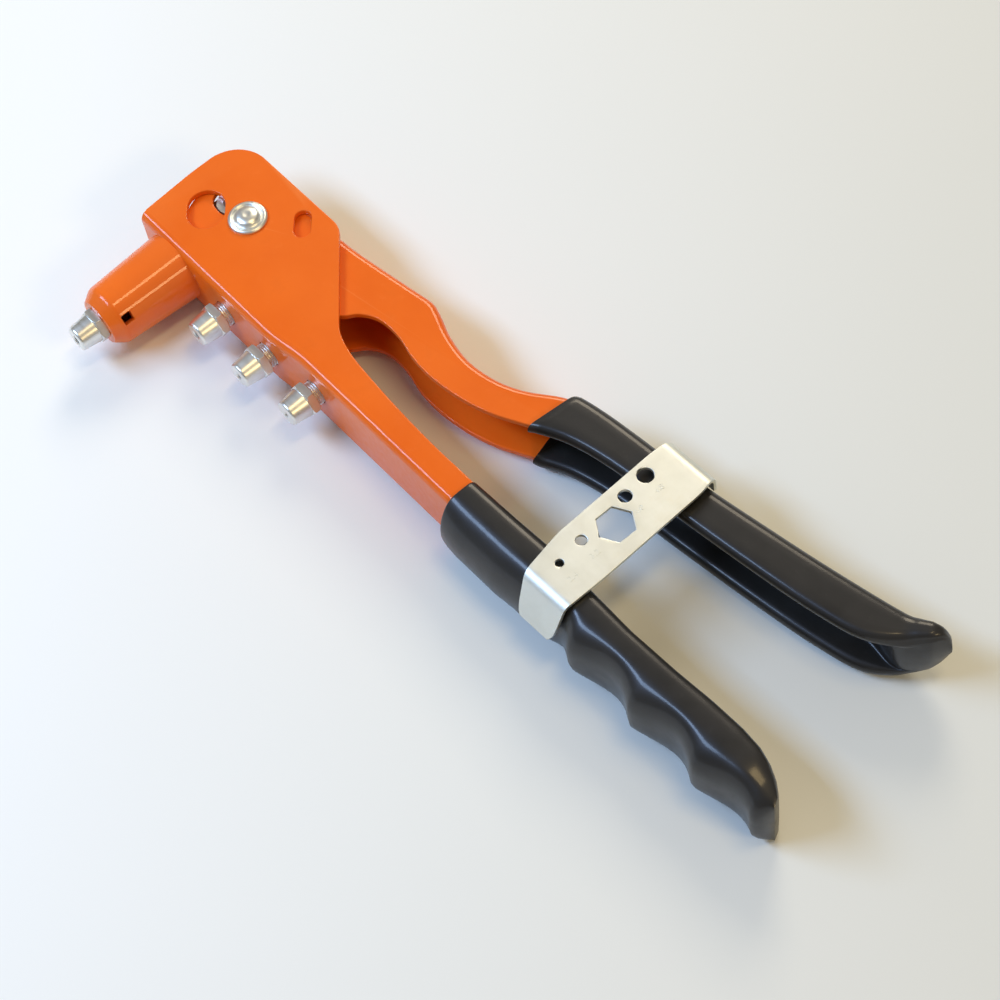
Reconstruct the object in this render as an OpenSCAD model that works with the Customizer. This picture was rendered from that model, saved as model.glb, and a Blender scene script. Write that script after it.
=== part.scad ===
// Hand riveter with both handles closed and latched, lying flat on its side.
// Design axes: X along the barrel (nose towards -X), Y along the handles (grips towards -Y),
// Z across the thickness, with 0 on the middle plane of both channels and on the barrel axis.
// place() moves each finished piece so that the tool stands on Z = 0, centred over the origin.

/* [Channels] */
// Thickness of the pressed steel sheet
sheet_t = 2; // [1.6:0.1:2.2]
// Width over the two cheeks of the body channel
body_w = 24; // [23.4:0.2:25]
// Clearance between each body cheek and the lever cheek inside it
cheek_gap = 0.3; // [0.2:0.1:0.5]
// How far the body web steps in below the nosepiece rack
web_step = 1.7; // [0.8:0.1:2.2]

/* [Pivot] */
// Distance of the pivot behind the outer face of the body web
pivot_x = 22.5; // [22:0.1:23]
// Distance of the pivot below the barrel axis
pivot_drop = 10.3; // [10:0.1:10.6]
// Radius of the pivot rivet's shank
rivet_r = 3.2; // [2.8:0.1:3.4]
// Radius of the flange on the rivet's head
rivet_head_r = 6.1; // [5.6:0.1:6.4]
// Outside radius of the sleeve that turns with the lever
sleeve_r = 4.3; // [4.1:0.1:4.4]

/* [Barrel] */
// Length of the barrel in front of the web
barrel_l = 29.3; // [28:0.1:31]
// Outside radius of the barrel at the web
barrel_back_r = 11.4; // [10.8:0.1:11.8]
// Outside radius of the barrel where the front chamfer starts
barrel_front_r = 9.9; // [9.4:0.1:10.3]
// Radius of the barrel bore
bore_r = 7.5; // [7.4:0.1:7.8]

/* [Nosepieces] */
// Size across the flats of every nosepiece
nose_af = 10; // [9.8:0.1:10]
// Thickness of the hexagon
nose_hex_t = 2.6; // [2.2:0.1:3]
// Length of the cone in front of the hexagon
nose_cone_l = 6.3; // [5.5:0.1:7]
// Radius of the nosepiece thread
thread_r = 4; // [3.8:0.1:4.2]
// Gap between the web and the hexagon of each stored nosepiece
rack_gap = 2.3; // [1.5:0.1:3]

/* [Jaws] */
// Half angle of the cone that closes the jaws
cone_angle = 10; // [8:1:10]
// Travel of the jaws against their spring
jaw_travel = 1.8; // [1:0.1:1.8]

/* [Grips] */
// Thickness of the body grip
body_grip_t = 26.4; // [26:0.1:26.8]
// Thickness of the lever grip
lever_grip_t = 23.2; // [22.8:0.1:23.6]
// Thickness of the dipped coating
dip_t = 1.4; // [1:0.1:1.6]
// Spacing of the finger ridges
finger_pitch = 24; // [22:0.5:26]
// Depth of the finger hollows
finger_depth = 1.8; // [1:0.1:2.2]

/* [Clip] */
// Thickness of the clip's strap
strap_t = 1.2; // [1:0.1:1.4]
// Width of the strap over the handles
strap_w = 19.2; // [17:0.2:20]
// Size across the flats of the spanner hole
key_af = 10.1; // [10.1:0.1:10.4]
// Radii of the four rivet gauge holes
gauge_r = [1.25, 1.65, 2.05, 2.45];

/* [Hidden] */

orange_paint = [0.91, 0.4, 0.14];
black_vinyl = [0.16, 0.15, 0.15];
zinc = [0.78, 0.77, 0.74];
bright_steel = [0.7, 0.7, 0.72];
dark_steel = [0.42, 0.42, 0.44];

// Overall limits of the tool, which place() centres over the origin
tip_x = -barrel_l - nose_hex_t - nose_cone_l;
outer_x = 70.4;
head_y = 16.1;
tail_y = -254.4;

body_h = body_w / 2;

// The folds of both channels: height below the cheek's outer face, and how far the web is set in
fold_layers = [[0, 1.6], [0.9, 0.6], [2.2, 0]];
lever_h = body_h - sheet_t - cheek_gap;
pivot = [pivot_x, -pivot_drop];

// Barrel axis: the trunnions that pull the jaw case, with the handles closed
trunnion_x = 23.5;
bush_r = 4.4;
notch_r = bush_r + 0.35;
notch_travel = 1.75;
notch_angle = atan((trunnion_x - pivot_x) / pivot_drop);
head_r = 19.4;
crown_r = 20.2;

// Barrel bore and jaw case, measured along the barrel axis with the handles closed
bore_x = -24.5;
nose_back_x = -20.7;
case_front_x = -14.7;
cavity_x = -3.6;
case_step_x = -2.5;
case_back_x = 9;
case_r = 7.2;
case_tail_r = 5.6;
mouth_r = 3.8;
neck_r = 4.4;
neck_front_x = 3.6;
block_x = 10.8;
jaw_front_x = -14.2;
jaw_back_x = -5.7;
jaw_play = 0.25;
pusher_shoulder_x = -3.5;
nut_t = 1.4;
spigot_r = 8.6;
seat_r = 5.95;

// Nosepieces: where they stand on the web, and the radius of each bore
rack_y = [-24.4, -45.1, -65.4];
rack_bore_r = [1.25, 1, 0.85];
fitted_bore_r = 1.55;

// Handles: where the grips start, and where the body channel ends
grip_y = -127;
body_channel_y = -246;
step_from_y = -46;
step_to_y = -62;

// Clip: its middle, its tilt across the handles, and the heights of its strap
clip_mid = [28, -166.6];
clip_tilt = 1.5;
strap_top = 15.1;
strap_bend_r = 4;
hook_lean = 26;
hook_end_z = 2.5;
lip_end_z = 7.5;

function arc(c, r, a0, a1, n = 10) =
    [for (i = [0:n]) c + r * [cos(a0 + (a1 - a0) * i / n), sin(a0 + (a1 - a0) * i / n)]];

// A smooth curve through points p, with n steps between each two
function curve(p, n = 5) = concat(
    [for (i = [0:len(p) - 2], k = [0:n - 1])
        let (a = p[max(i - 1, 0)], b = p[i], c = p[i + 1], d = p[min(i + 2, len(p) - 1)], t = k / n)
        0.5 * (2 * b + (c - a) * t + (2 * a - 5 * b + 4 * c - d) * t * t
            + (3 * b - a - 3 * c + d) * t * t * t)],
    [p[len(p) - 1]]);

// The curve p moved sideways by d, to the left of its direction of travel
function beside(p, d) = [for (i = [0:len(p) - 1])
    let (t = p[min(i + 1, len(p) - 1)] - p[max(i - 1, 0)])
    p[i] + d * [-t[1], t[0]] / norm(t)];

function backwards(p) = [for (i = [len(p) - 1:-1:0]) p[i]];

// The outer face of the body web: straight, with one smooth step
function web_x(y) = let (t = min(max((step_from_y - y) / (step_from_y - step_to_y), 0), 1))
    web_step * t * t * (3 - 2 * t);

function web_line(y0, y1, inset, n = 24) =
    [for (i = [0:n]) let (y = y0 + (y1 - y0) * i / n) [web_x(y) + inset, y]];

// Free edge of the body cheeks, from the crown of the head down to the end of the channel
body_edge = concat(
    [[3, 14.7], [14, 15.6], [24, head_y]],
    arc([28.4, 4.1], 12, 90, 0),
    arc([32.6, -29.3], 8.4, 0, -42, 6),
    curve([[20.6, -56], [16.4, -61.6], [14, -69], [12.8, -78], [11.6, -93], [10.9, -110],
        [10.9, grip_y], [10.4, -150], [10, -190], [10.4, -222], [8, -240], [5, body_channel_y]]));

// Outer and free edges of the lever, both from the head towards the tip
lever_outer = curve([[38.6, 0], [38.6, -20], [39.3, -38], [41, -52], [42.9, -65], [43.6, -71],
    [42.3, -76], [39.7, -83], [38, -91], [38, -98], [39.6, -106], [43, -113.5], [49.4, -123],
    [51.9, -132], [53.8, -149], [55.5, -174], [58.7, -200], [62.9, -225], [66, -240], [68.2, -246]]);
lever_free = curve([[17, -48], [20.5, -55.6], [25, -59.2], [27.8, -64], [28.5, -69.5], [28, -75],
    [26.5, -81.5], [25.9, -88], [26.2, -95], [27.6, -104], [30.4, -113], [35.2, -123],
    [40.3, -134], [43.6, -149], [45.9, -172], [48.9, -199], [52, -221], [56, -236], [65, -245.5]]);
lever_web_y = -18;

function below(p, y) = [for (q = p) if (q[1] < y) q];

module place() {
    translate([-(tip_x + outer_x) / 2, -(head_y + tail_y) / 2, body_grip_t / 2]) children();
}

// A flat shape drawn in X and Y, with half its thickness on each side of the middle plane
module slab(points, half_t) {
    translate([0, 0, -half_t]) linear_extrude(2 * half_t) polygon(points);
}

// A shape turned about the barrel axis, from [x, radius] pairs
module turned(profile) {
    rotate([0, 90, 0]) rotate_extrude($fn = 72) polygon([for (q = profile) [q[1], q[0]]]);
}

module ring(x0, x1, inner, outer) {
    turned([[x0, inner], [x0, outer], [x1, outer], [x1, inner]]);
}

// A rod across the thickness, and a rod along the barrel axis
module cross_rod(at, r, half_t) {
    translate([at[0], at[1], -half_t]) cylinder(h = 2 * half_t, r = r, $fn = 72);
}

module axial_rod(x0, x1, r, y = 0) {
    translate([x0, y, 0]) rotate([0, 90, 0]) cylinder(h = x1 - x0, r = r, $fn = 72);
}

// A slot with round ends from a to b, through everything within half_t of the middle plane
module slot(a, b, r, half_t) {
    turn = atan2(b[1] - a[1], b[0] - a[0]);
    slab(concat(arc(b, r, turn - 90, turn + 90, 20), arc(a, r, turn + 90, turn + 270, 20)), half_t);
}

function body_plan(inset) = concat(body_edge, web_line(body_channel_y, 13.6, inset),
    arc([2 + inset, 12.9], 2, 165, 100, 4));

// The body channel before it is hollowed, with its two folds rounded in layers
module body_envelope() {
    for (fold = fold_layers) slab(body_plan(fold[1]), body_h - fold[0]);
}

module body_frame() place() color(orange_paint) difference() {
    body_envelope();
    slab(concat([[90, 40], [90, -270]], web_line(-270, 40, sheet_t)), body_h - sheet_t);
    axial_rod(-1, sheet_t + 1, spigot_r + 0.6);
    for (y = rack_y) axial_rod(-1, sheet_t + web_step + 1, thread_r, y);
    cross_rod(pivot, rivet_r, body_h + 1);
    // an opening in the upper cheek only, over the lever's head
    translate([0, 0, body_h]) slot([14.8, 0.6], [16.6, 2.6], 5.75, sheet_t + 1);
    slot([31.5, -25.2], [34.6, -21.8], 2.6, body_h + 1);
}

// Finger side of the body grip at its widest height: ridges below the clip, straight above it
function ridge_x(y) = let (first = -181.5, swing = finger_depth / 2)
    y > first + finger_pitch / 2 ? -2.8 : -4.5 + swing - swing * cos(360 * (y - first) / finger_pitch);

grip_plan = concat(
    [for (y = [-252:2:-170]) [ridge_x(y), y]],
    [[-2.8, -157], [-4, -154], [-4, -133], [-3, -128.6], [0, grip_y]],
    curve([[11.6, grip_y], [12.7, -144], [13.7, -158], [12.4, -176], [11.8, -192], [12.4, -209],
        [13.4, -226], [13.3, -238], [11, -246.5], [6.5, -251.5], [0.6, tail_y]]));

// Finger side of the body grip seen from its end: bulging, or flatter where the clip's hook leans on it
bulge = [for (a = [-90:10:90]) [4.5 - 9 * pow(cos(a), 1.3), body_grip_t / 2 * sin(a)]];
waist = [[4.5, -body_grip_t / 2], [2.1, -12.8], [-2.8, -2.8], [-2.8, 2.8], [2.1, 12.8], [4.5, body_grip_t / 2]];

module grip_length(y0, y1, finger_side) {
    z = body_grip_t / 2 - 3.4;
    intersection() {
        slab(grip_plan, body_grip_t / 2);
        translate([0, y1, 0]) rotate([90, 0, 0]) linear_extrude(y1 - y0) polygon(concat(
            finger_side, arc([11, z], 3.4, 90, 0, 6), arc([11, -z], 3.4, 0, -90, 6)));
    }
}

module body_grip() place() color(black_vinyl) difference() {
    union() {
        grip_length(-156, grip_y, bulge);
        grip_length(-178, -156, waist);
        grip_length(-256, -178, bulge);
    }
    body_envelope();
}

module barrel() place() color(orange_paint) difference() {
    turned([[-barrel_l, thread_r], [-barrel_l, barrel_front_r - 2.7], [-25.5, barrel_front_r],
        [0, barrel_back_r], [0, spigot_r + 0.6], [sheet_t, spigot_r + 0.6], [sheet_t, spigot_r],
        [sheet_t + nut_t, spigot_r], [sheet_t + nut_t, bore_r], [bore_x, bore_r], [bore_x, thread_r]]);
    rotate([59, 0, 0]) translate([-25.2, -1.7, 5]) cube([3.4, 3.4, 10]);
}

module barrel_nut() place() color(bright_steel) ring(sheet_t, sheet_t + nut_t, spigot_r, body_h - sheet_t - 0.2);

module spring_seat() place() color(bright_steel) ring(sheet_t - 0.6, sheet_t + nut_t, seat_r, bore_r);

// A nosepiece whose hexagon seats at x = 0, with its cone towards -X and its thread behind
module nosepiece(hole_r) {
    shank = barrel_l + nose_back_x;
    difference() {
        union() {
            translate([-nose_hex_t, 0, 0]) rotate([0, 90, 0])
                cylinder(h = nose_hex_t, r = nose_af / 2 / cos(30), $fn = 6);
            turned([[-nose_hex_t - nose_cone_l, 0], [-nose_hex_t - nose_cone_l, 3.7],
                [-nose_hex_t - nose_cone_l + 0.4, 4.05], [-nose_hex_t, 4.75], [0, 4.75],
                [0, thread_r], [barrel_l + bore_x, thread_r], [barrel_l + bore_x + 0.8, 3.3],
                [shank, 3.3], [shank, 0]]);
        }
        axial_rod(-20, 20, hole_r);
    }
}

module fitted_nosepiece() place() color(zinc) translate([-barrel_l, 0, 0]) nosepiece(fitted_bore_r);

module spare_nosepiece(i) place() color(zinc)
    translate([web_x(rack_y[i]) - rack_gap, rack_y[i], 0]) nosepiece(rack_bore_r[i]);

// Rivet through both channels: flanged, domed head on top and a flat peened head below
module pivot_rivet() place() color(bright_steel) translate([pivot[0], pivot[1], 0])
    rotate_extrude($fn = 72) polygon([[0, -body_grip_t / 2], [4, -body_grip_t / 2], [5, -body_h - 0.6],
        [5, -body_h], [rivet_r, -body_h], [rivet_r, body_h], [rivet_head_r, body_h],
        [rivet_head_r, body_h + 0.6], [5.7, body_h + 1.2], [5, body_h + 1.2], [4.4, body_h + 0.7],
        [3.9, body_h + 0.9], [3.5, body_h + 1.8], [2.6, body_h + 2.2], [0, body_h + 2.4]]);

// Outline of the lever: round head, then both long edges.
// The head is smaller on the side that passes the barrel nut as the lever opens.
function lever_plan(inset) = concat(
    arc(pivot, head_r, 205, 134, 14), arc(pivot, crown_r, 124, 34, 16), beside(lever_outer, -inset),
    backwards(lever_free));

// Slot in the head's cheeks, as long as the trunnions need while the lever swings
module lever_notch() {
    translate([pivot[0], pivot[1], -lever_h - 1]) rotate([0, 0, -notch_angle]) {
        translate([0, pivot_drop - 0.35, 0]) cylinder(h = 2 * lever_h + 2, r = notch_r, $fn = 72);
        translate([-notch_r, pivot_drop - 0.35, 0]) cube([2 * notch_r, notch_travel, 2 * lever_h + 2]);
        translate([0, pivot_drop - 0.35 + notch_travel, 0]) cylinder(h = 2 * lever_h + 2, r = notch_r, $fn = 72);
    }
}

// Space inside the lever channel down to end_y, open towards -X; the head has cheeks but no web
module lever_inside(half_t, wall, end_y) {
    face = [for (q = beside(lever_outer, -wall)) if (q[1] < lever_web_y && q[1] > end_y) q];
    slab(concat([[60, 20], [60, lever_web_y]], face,
        [[face[len(face) - 1][0] + 1, end_y], [-20, end_y], [-20, 20]]), half_t);
}

module lever_channel() {
    difference() {
        for (fold = fold_layers) slab(lever_plan(fold[1]), lever_h - fold[0]);
        lever_inside(lever_h - sheet_t, sheet_t, -256);
    }
}

module lever_frame() place() color(orange_paint) difference() {
    lever_channel();
    lever_notch();
    cross_rod(pivot, sleeve_r, lever_h + 1);
}

// The dipped coating: four stacked outlines round its long edges, and its tip is closed
module lever_grip() place() color(black_vinyl) {
    outer = below(lever_outer, grip_y + 1);
    free = below(lever_free, grip_y);
    top = lever_grip_t / 2;
    tip = [[outer_x, -248.4], [69.4, -250.6], [66.6, -250.2]];
    tip_core = [66, -245.5];
    difference() {
        for (layer = [[top, 3.4], [top - 0.7, 1.9], [top - 1.9, 0.8], [top - 3.6, 0]])
            let (inset = layer[1])
            slab(concat(beside(outer, dip_t - inset), [for (q = tip) q + (tip_core - q) * inset / 5],
                backwards(beside(free, 0.3 * inset - dip_t))), layer[0]);
        lever_inside(lever_h - sheet_t - dip_t, sheet_t + dip_t, -240);
        lever_channel();
    }
}

module pivot_sleeve() place() color(bright_steel) difference() {
    cross_rod(pivot, sleeve_r, lever_h);
    cross_rod(pivot, rivet_r + 0.05, lever_h + 1);
}

module jaw_case() place() color(dark_steel) turned([[case_front_x, mouth_r], [case_front_x, case_r - 0.6],
    [case_front_x + 0.6, case_r], [case_step_x, case_r], [case_step_x, case_tail_r],
    [case_back_x, case_tail_r], [case_back_x, neck_r], [cavity_x, neck_r],
    [cavity_x, mouth_r + (cavity_x - case_front_x) * tan(cone_angle)]]);

module case_locknut() place() color(bright_steel) ring(case_back_x, block_x, neck_r, case_tail_r - 0.1);

module pulling_head() place() color(bright_steel) difference() {
    union() {
        axial_rod(neck_front_x, block_x + 1, neck_r);
        translate([block_x, -5.4, 0.4 - lever_h + sheet_t]) cube([18.4, 10.8, 2 * (lever_h - sheet_t - 0.4)]);
    }
    axial_rod(0, 40, 2);
    for (s = [-1, 1]) translate([trunnion_x, 0, s > 0 ? 3 : -lever_h])
        cylinder(h = lever_h - 3, r = 2.4, $fn = 72);
}

module trunnion_pins() place() color(dark_steel) for (s = [-1, 1])
    translate([trunnion_x, 0, s > 0 ? 3 : -lever_h]) cylinder(h = lever_h - 3, r = 2.4, $fn = 72);

module trunnion_bushes() place() color(bright_steel) for (s = [-1, 1])
    translate([trunnion_x, 0, s > 0 ? lever_h - sheet_t - 0.2 : -lever_h + 0.1]) difference() {
        cylinder(h = sheet_t + 0.1, r = bush_r, $fn = 72);
        translate([0, 0, -1]) cylinder(h = sheet_t + 3, r = 2.4, $fn = 72);
    }

module return_spring() place() color(dark_steel)
    ring(case_step_x, sheet_t - 0.6, case_tail_r + 0.25, bore_r - 0.25);

module jaw_pusher() place() color(dark_steel) difference() {
    turned([[jaw_back_x + 0.3, 0], [jaw_back_x + 0.3, 3.4], [jaw_back_x + 1, neck_r - 0.3],
        [pusher_shoulder_x, neck_r - 0.3], [pusher_shoulder_x, 2.3], [neck_front_x - jaw_travel - 0.4, 2.3],
        [neck_front_x - jaw_travel - 0.4, 0]]);
    axial_rod(-20, 20, 1.7);
}

module jaw_spring() place() color(bright_steel) ring(pusher_shoulder_x, neck_front_x, 2.6, neck_r - 0.2);

// One of three toothed segments that wedge in the mouth of the jaw case
module jaw(i) place() color(dark_steel) {
    front_r = mouth_r - jaw_play + (jaw_front_x - case_front_x) * tan(cone_angle);
    back_r = mouth_r - jaw_play + (jaw_back_x - case_front_x) * tan(cone_angle);
    rotate([120 * i, 0, 0]) rotate([0, 90, 0]) rotate([0, 0, 125]) rotate_extrude(angle = 110, $fn = 72)
        polygon([[0.9, jaw_front_x], [front_r, jaw_front_x], [back_r, jaw_back_x], [0.9, jaw_back_x]]);
}

// Side view of the strap: a leaning hook over the body grip and a short lip over the lever grip
function strap_path(off) = let (r = strap_bend_r - off, z = strap_top - strap_bend_r,
        hook = [3.9, z], lip = [55.1, z], lean = 180 - hook_lean,
        foot = hook + r * [cos(lean), sin(lean)], drop = foot[1] - hook_end_z - off * 0.2)
    concat([foot - drop * [tan(hook_lean), 1]], arc(hook, r, lean, 90, 8), arc(lip, r, 90, 0, 8),
        [[lip[0] + r, lip_end_z]]);

module clip_key() place() color(zinc) {
    half = strap_w / 2;
    hole_x = [10, 19, 37, 45.5];
    hole_y = [2.4, 3.3, 4.7, 5.5];
    translate([clip_mid[0], clip_mid[1], 0]) rotate([0, 0, clip_tilt]) translate([-clip_mid[0], 0, 0])
    difference() {
        intersection() {
            translate([0, half, 0]) rotate([90, 0, 0]) linear_extrude(2 * half)
                polygon(concat(strap_path(0), backwards(strap_path(strap_t))));
            slab(concat([[62, -half + 1.6], [62, half - 1.2], [52, half], [16, half], [2, half - 2.2]],
                arc([-2.4, 3.2], 2.6, 100, 170, 5), [[-5.6, -half + 5]],
                arc([-3.4, -half + 3.4], 2.2, 190, 280, 5), [[4, -half + 0.4], [16, -half]]), 30);
        }
        for (i = [0:3]) translate([hole_x[i], hole_y[i], 0]) cylinder(h = 30, r = gauge_r[i], $fn = 72);
        translate([29, 0.1, 0]) rotate([0, 0, -2.6]) cylinder(h = 30, r = key_af / 2 / cos(30), $fn = 6);
    }
}

body_frame();
body_grip();
barrel();
barrel_nut();
spring_seat();
fitted_nosepiece();
spare_nosepiece(0);  // spare_nosepiece_large
spare_nosepiece(1);  // spare_nosepiece_medium
spare_nosepiece(2);  // spare_nosepiece_small
pivot_rivet();
lever_frame();
lever_grip();
pivot_sleeve();
jaw_case();
case_locknut();
pulling_head();
trunnion_pins();
trunnion_bushes();
return_spring();
jaw_pusher();
jaw_spring();
jaw(0);  // jaw_1
jaw(1);  // jaw_2
jaw(2);  // jaw_3
clip_key();
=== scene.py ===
"""Finished model of a hand riveter: pressed steel channels, vinyl grips, nosepieces and the latch clip."""
import math

import bmesh
import bpy
from mathutils import Matrix, Vector


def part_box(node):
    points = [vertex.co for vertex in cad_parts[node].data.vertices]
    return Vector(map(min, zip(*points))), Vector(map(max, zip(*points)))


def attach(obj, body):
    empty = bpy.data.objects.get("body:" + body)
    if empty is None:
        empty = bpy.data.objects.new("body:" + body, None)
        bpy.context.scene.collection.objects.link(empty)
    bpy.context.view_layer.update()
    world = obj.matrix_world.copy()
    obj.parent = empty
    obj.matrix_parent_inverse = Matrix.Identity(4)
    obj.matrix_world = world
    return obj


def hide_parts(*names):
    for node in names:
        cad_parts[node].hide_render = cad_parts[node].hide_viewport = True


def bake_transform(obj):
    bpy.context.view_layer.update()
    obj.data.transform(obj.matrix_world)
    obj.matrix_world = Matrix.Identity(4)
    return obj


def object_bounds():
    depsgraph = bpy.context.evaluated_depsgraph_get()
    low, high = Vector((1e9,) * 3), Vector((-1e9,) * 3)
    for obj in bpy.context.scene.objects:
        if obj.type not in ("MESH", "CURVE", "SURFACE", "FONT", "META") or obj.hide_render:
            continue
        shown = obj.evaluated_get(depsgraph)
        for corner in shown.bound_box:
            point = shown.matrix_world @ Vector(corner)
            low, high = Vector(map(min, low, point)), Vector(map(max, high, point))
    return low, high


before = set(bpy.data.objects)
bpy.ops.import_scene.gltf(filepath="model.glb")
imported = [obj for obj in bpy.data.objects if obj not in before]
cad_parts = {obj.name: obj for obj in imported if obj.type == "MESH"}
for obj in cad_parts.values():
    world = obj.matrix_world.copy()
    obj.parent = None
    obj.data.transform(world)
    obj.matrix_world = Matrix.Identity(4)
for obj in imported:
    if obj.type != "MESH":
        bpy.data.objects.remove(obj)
cad_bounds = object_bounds()

MM = 0.001
Z_AXIS = (0, 0, 1)
X_AXIS = (1, 0, 0)

# The tool's own axes, in millimetres: X from the outer face of the body's web, Y from the barrel axis,
# Z from the middle plane of the channels. tool() turns such a place into the frame's metres.
BARREL_LOW, BARREL_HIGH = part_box("barrel")
BODY_LOW, BODY_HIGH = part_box("body_frame")
ORIGIN = Vector((BODY_LOW.x, (BARREL_LOW.y + BARREL_HIGH.y) / 2, (BODY_LOW.z + BODY_HIGH.z) / 2))


def tool(x, y, z=0.0):
    return ORIGIN + Vector((x, y, z)) * MM


def span(node, axis):
    """Lowest and highest value of a node's box along one of the tool's axes, in millimetres."""
    low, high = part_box(node)
    return (low[axis] - ORIGIN[axis]) / MM, (high[axis] - ORIGIN[axis]) / MM


def middle(node, axis):
    return sum(span(node, axis)) / 2


# ---------------------------------------------------------------- driving sizes, millimetres
SHEET_T = 2.0
FOLD_R = 2.5
EDGE_R = 0.35
BODY_H = span("body_frame", 2)[1]
LEVER_H = span("lever_frame", 2)[1]
BODY_GRIP_H = span("body_grip", 2)[1]
LEVER_GRIP_H = span("lever_grip", 2)[1]
DIP_T = 1.4
GRIP_Y = span("body_grip", 1)[1]
TAIL_Y = span("body_grip", 1)[0]
PIVOT = Vector((middle("pivot_sleeve", 0), middle("pivot_sleeve", 1)))
SLEEVE_R = 4.3
RIVET_R = 3.2
NOSE_X = span("barrel", 0)[0]
RACK_BORES = {"spare_nosepiece_large": 1.25, "spare_nosepiece_medium": 1.0, "spare_nosepiece_small": 0.85}
FITTED_BORE = 1.55
THREAD_R = 4.0
CONE_REACH = 8.9
HEX_HALF = 5.0
HEX_CORNER = 1 / math.cos(math.pi / 6)
NECK_R = 9.2
THROUGH = 40


# ---------------------------------------------------------------- outlines
def arc(centre, r, start, stop, steps=8):
    """Points round a centre, from one angle to another, in degrees."""
    angles = [math.radians(start + (stop - start) * i / steps) for i in range(steps + 1)]
    return [(centre[0] + r * math.cos(a), centre[1] + r * math.sin(a)) for a in angles]


def curve(stations, steps=6):
    """A smooth curve through the stations."""
    points = []
    last = len(stations) - 1
    for i in range(last):
        a, b, c, d = (Vector(stations[k]) for k in (max(i - 1, 0), i, i + 1, min(i + 2, last)))
        for k in range(steps):
            t = k / steps
            bend = (2 * a - 5 * b + 4 * c - d) * t ** 2 + (3 * b - a - 3 * c + d) * t ** 3
            points.append(tuple((2 * b + (c - a) * t + bend) / 2))
    return points + [tuple(stations[last])]


def beside(points, gap):
    """The same line moved sideways, to the left of its direction of travel."""
    moved = []
    for i, spot in enumerate(points):
        ahead = Vector(points[min(i + 1, len(points) - 1)]) - Vector(points[max(i - 1, 0)])
        moved.append((spot[0] - gap * ahead.y / ahead.length, spot[1] + gap * ahead.x / ahead.length))
    return moved


def between(x, stops):
    """Straight-line value at x from (place, value) stops in rising order."""
    if x <= stops[0][0]:
        return stops[0][1]
    for (x0, v0), (x1, v1) in zip(stops, stops[1:]):
        if x <= x1:
            return v0 + (v1 - v0) * (x - x0) / (x1 - x0)
    return stops[-1][1]


def eased(t):
    t = min(max(t, 0.0), 1.0)
    return t * t * (3 - 2 * t)


def web_x(y):
    """Outer face of the body's web, which steps in below the nosepiece rack."""
    return 1.7 * eased((-46 - y) / 16)


# both channels end inside their grips
BODY_END = -236
LEVER_END = -228
BODY_TOP = 14.4
BODY_WEB = [(web_x(y), y) for y in (BODY_END + (BODY_TOP - BODY_END) * i / 60 for i in range(61))]
BODY_EDGE = (
    [(2.6, 14.8), (14, 15.6), (20, 16.0), (24, 16.1)]
    + arc((28.4, 4.1), 12, 90, 0, 14)
    + [(40.4, -10), (40.4, -20)]
    + arc((32.6, -29.3), 7.8, 0, -42, 7)
    + curve([(20.6, -56), (16.4, -61.6), (14, -69), (12.8, -78), (11.6, -93), (10.9, -110),
             (10.9, GRIP_Y), (10.4, -150), (10, -190), (10.4, -222), (9.6, BODY_END)]))

LEVER_OUTER = curve([
    (38.6, 0), (38.6, -20), (39.3, -38), (41, -52), (42.9, -65), (43.6, -71), (42.3, -76),
    (39.7, -83), (38, -91), (38, -98), (39.6, -106), (43, -113.5), (49.4, -123), (51.9, -132),
    (53.8, -149), (55.5, -174), (58.7, -200), (62.9, -225), (66, -240), (68.2, -246)])
LEVER_FREE = curve([
    (17, -48), (20.5, -55.6), (25, -59.2), (27.8, -64), (28.5, -69.5), (28, -75),
    (26.5, -81.5), (25.9, -88), (26.2, -95), (27.6, -104), (30.4, -113), (35.2, -123),
    (40.3, -134), (43.6, -149), (45.9, -172), (48.9, -199), (52, -221), (56, -236), (65, -245.5)])
LEVER_WEB_Y = -18
TRUNNION_REACH = (9.95, 11.7)
TRUNNION_R = 4.75
CROWN_R = 20.2
HEAD_R = 19.4


# ---------------------------------------------------------------- mesh work
def alone():
    """Leave edit mode and deselect everything, so that the next operator acts on the next piece only."""
    if bpy.context.object and bpy.context.object.mode != "OBJECT":
        bpy.ops.object.mode_set(mode="OBJECT")
    bpy.ops.object.select_all(action="DESELECT")


def pick(piece):
    alone()
    piece.select_set(True)
    bpy.context.view_layer.objects.active = piece
    return piece


def named(piece, name):
    piece.name = name
    piece.data.name = name
    return piece


def edit(piece, kind="FACE"):
    """Open a piece in edit mode with nothing selected, and give its mesh."""
    pick(piece)
    bpy.ops.object.mode_set(mode="EDIT")
    bpy.ops.mesh.select_mode(type=kind)
    bpy.ops.mesh.select_all(action="DESELECT")
    return bmesh.from_edit_mesh(piece.data)


def choose(piece, mesh, items, wanted):
    """Select the faces, edges or corners that pass a test."""
    for item in items:
        item.select_set(bool(wanted(item)))
    mesh.select_flush_mode()
    bmesh.update_edit_mesh(piece.data)


def done(piece):
    bpy.ops.object.mode_set(mode="OBJECT")
    return piece


def applied(piece, kind, **settings):
    """Add one modifier with its settings and apply it."""
    pick(piece)
    modifier = piece.modifiers.new(kind.title(), kind)
    for key, value in settings.items():
        setattr(modifier, key, value)
    bpy.ops.object.modifier_apply(modifier=modifier.name)
    return piece


def cut(piece, cutter, operation="DIFFERENCE"):
    applied(piece, "BOOLEAN", object=cutter, operation=operation, solver="EXACT")
    bpy.data.objects.remove(cutter)
    return piece


def joined(piece, other):
    """Make another mesh part of a piece."""
    pick(piece)
    other.select_set(True)
    bpy.ops.object.join()
    return piece


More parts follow.
